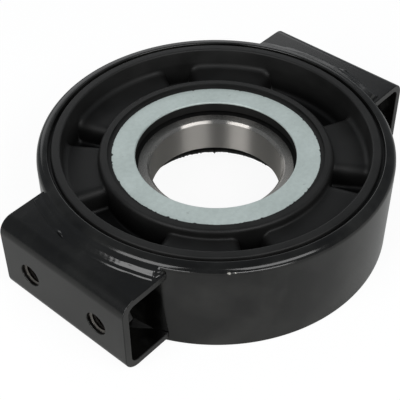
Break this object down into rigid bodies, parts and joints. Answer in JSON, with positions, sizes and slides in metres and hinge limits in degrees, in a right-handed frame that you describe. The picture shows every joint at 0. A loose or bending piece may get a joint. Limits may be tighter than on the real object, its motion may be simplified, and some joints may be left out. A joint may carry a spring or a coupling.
{
  "type": "driveshaft centre bearing",
  "caption": "Ball bearing carried in a moulded rubber support inside a black steel ring, with folded side brackets that bolt to a truck's cross member to support a driveshaft.",
  "frame": {"origin": "on the shaft axis, at the housing's lower face", "axes": "+Z along the shaft axis, +X across the two bracket webs, +Y along the brackets"},
  "size_m": [0.224, 0.186, 0.054],
  "materials": {
    "housing_paint": "satin black paint",
    "bracket_paint": "satin black paint",
    "weld_paint": "glossy black paint over weld",
    "sleeve_paint": "satin black",
    "support_rubber": "matt moulded",
    "seal_rubber": "matt moulded",
    "zinc_plate": "pale blue zinc plating",
    "race_steel": "ground",
    "cage_steel": "pressed sheet",
    "ball_steel": "polished"
  },
  "bodies": {
    "housing": {"housing_ring": "housing_paint", "left_bracket": "bracket_paint", "right_bracket": "bracket_paint", "left_upper_weld": "weld_paint", "left_lower_weld": "weld_paint", "right_upper_weld": "weld_paint", "right_lower_weld": "weld_paint", "left_weld_nuts": "bracket_paint", "right_weld_nuts": "bracket_paint", "rubber_support": "support_rubber", "inner_sleeve": "sleeve_paint", "upper_dust_shield": "zinc_plate", "lower_dust_shield": "zinc_plate", "upper_dust_seal": "seal_rubber", "lower_dust_seal": "seal_rubber", "bearing_outer_race": "race_steel", "upper_bearing_seal": "seal_rubber", "lower_bearing_seal": "seal_rubber"},
    "inner_race": {"bearing_inner_race": "race_steel"},
    "cage": {"upper_cage": "cage_steel", "lower_cage": "cage_steel", "cage_rivets": "cage_steel"},
    "ball_1": {"ball_1": "ball_steel"},
    "ball_2": {"ball_2": "ball_steel"},
    "ball_3": {"ball_3": "ball_steel"},
    "ball_4": {"ball_4": "ball_steel"},
    "ball_5": {"ball_5": "ball_steel"},
    "ball_6": {"ball_6": "ball_steel"},
    "ball_7": {"ball_7": "ball_steel"},
    "ball_8": {"ball_8": "ball_steel"},
    "ball_9": {"ball_9": "ball_steel"},
    "ball_10": {"ball_10": "ball_steel"},
    "ball_11": {"ball_11": "ball_steel"}
  },
  "joints": [
    {"name": "inner_race_spin", "type": "hinge", "parent": "housing", "child": "inner_race", "pos_m": [0, 0, 0.027], "axis": [0, 0, 1], "continuous": true},
    {"name": "cage_spin", "type": "hinge", "parent": "housing", "child": "cage", "pos_m": [0, 0, 0.027], "axis": [0, 0, 1], "continuous": true},
    {"name": "ball_1_spin", "type": "hinge", "parent": "cage", "child": "ball_1", "pos_m": [0.045, 0, 0.027], "axis": [0, 0, 1], "continuous": true},
    {"name": "ball_2_spin", "type": "hinge", "parent": "cage", "child": "ball_2", "pos_m": [0.03786, 0.02433, 0.027], "axis": [0, 0, 1], "continuous": true},
    {"name": "ball_3_spin", "type": "hinge", "parent": "cage", "child": "ball_3", "pos_m": [0.01869, 0.04093, 0.027], "axis": [0, 0, 1], "continuous": true},
    {"name": "ball_4_spin", "type": "hinge", "parent": "cage", "child": "ball_4", "pos_m": [-0.0064, 0.04454, 0.027], "axis": [0, 0, 1], "continuous": true},
    {"name": "ball_5_spin", "type": "hinge", "parent": "cage", "child": "ball_5", "pos_m": [-0.02947, 0.03401, 0.027], "axis": [0, 0, 1], "continuous": true},
    {"name": "ball_6_spin", "type": "hinge", "parent": "cage", "child": "ball_6", "pos_m": [-0.04318, 0.01268, 0.027], "axis": [0, 0, 1], "continuous": true},
    {"name": "ball_7_spin", "type": "hinge", "parent": "cage", "child": "ball_7", "pos_m": [-0.04318, -0.01268, 0.027], "axis": [0, 0, 1], "continuous": true},
    {"name": "ball_8_spin", "type": "hinge", "parent": "cage", "child": "ball_8", "pos_m": [-0.02947, -0.03401, 0.027], "axis": [0, 0, 1], "continuous": true},
    {"name": "ball_9_spin", "type": "hinge", "parent": "cage", "child": "ball_9", "pos_m": [-0.0064, -0.04454, 0.027], "axis": [0, 0, 1], "continuous": true},
    {"name": "ball_10_spin", "type": "hinge", "parent": "cage", "child": "ball_10", "pos_m": [0.01869, -0.04093, 0.027], "axis": [0, 0, 1], "continuous": true},
    {"name": "ball_11_spin", "type": "hinge", "parent": "cage", "child": "ball_11", "pos_m": [0.03786, -0.02433, 0.027], "axis": [0, 0, 1], "continuous": true}
  ],
  "couplings": [
    {"joint": "cage_spin", "follows": "inner_race_spin", "ratio": 0.425},
    {"joint": "ball_1_spin", "follows": "inner_race_spin", "ratio": -3.2583},
    {"joint": "ball_2_spin", "follows": "inner_race_spin", "ratio": -3.2583},
    {"joint": "ball_3_spin", "follows": "inner_race_spin", "ratio": -3.2583},
    {"joint": "ball_4_spin", "follows": "inner_race_spin", "ratio": -3.2583},
    {"joint": "ball_5_spin", "follows": "inner_race_spin", "ratio": -3.2583},
    {"joint": "ball_6_spin", "follows": "inner_race_spin", "ratio": -3.2583},
    {"joint": "ball_7_spin", "follows": "inner_race_spin", "ratio": -3.2583},
    {"joint": "ball_8_spin", "follows": "inner_race_spin", "ratio": -3.2583},
    {"joint": "ball_9_spin", "follows": "inner_race_spin", "ratio": -3.2583},
    {"joint": "ball_10_spin", "follows": "inner_race_spin", "ratio": -3.2583},
    {"joint": "ball_11_spin", "follows": "inner_race_spin", "ratio": -3.2583}
  ]
}
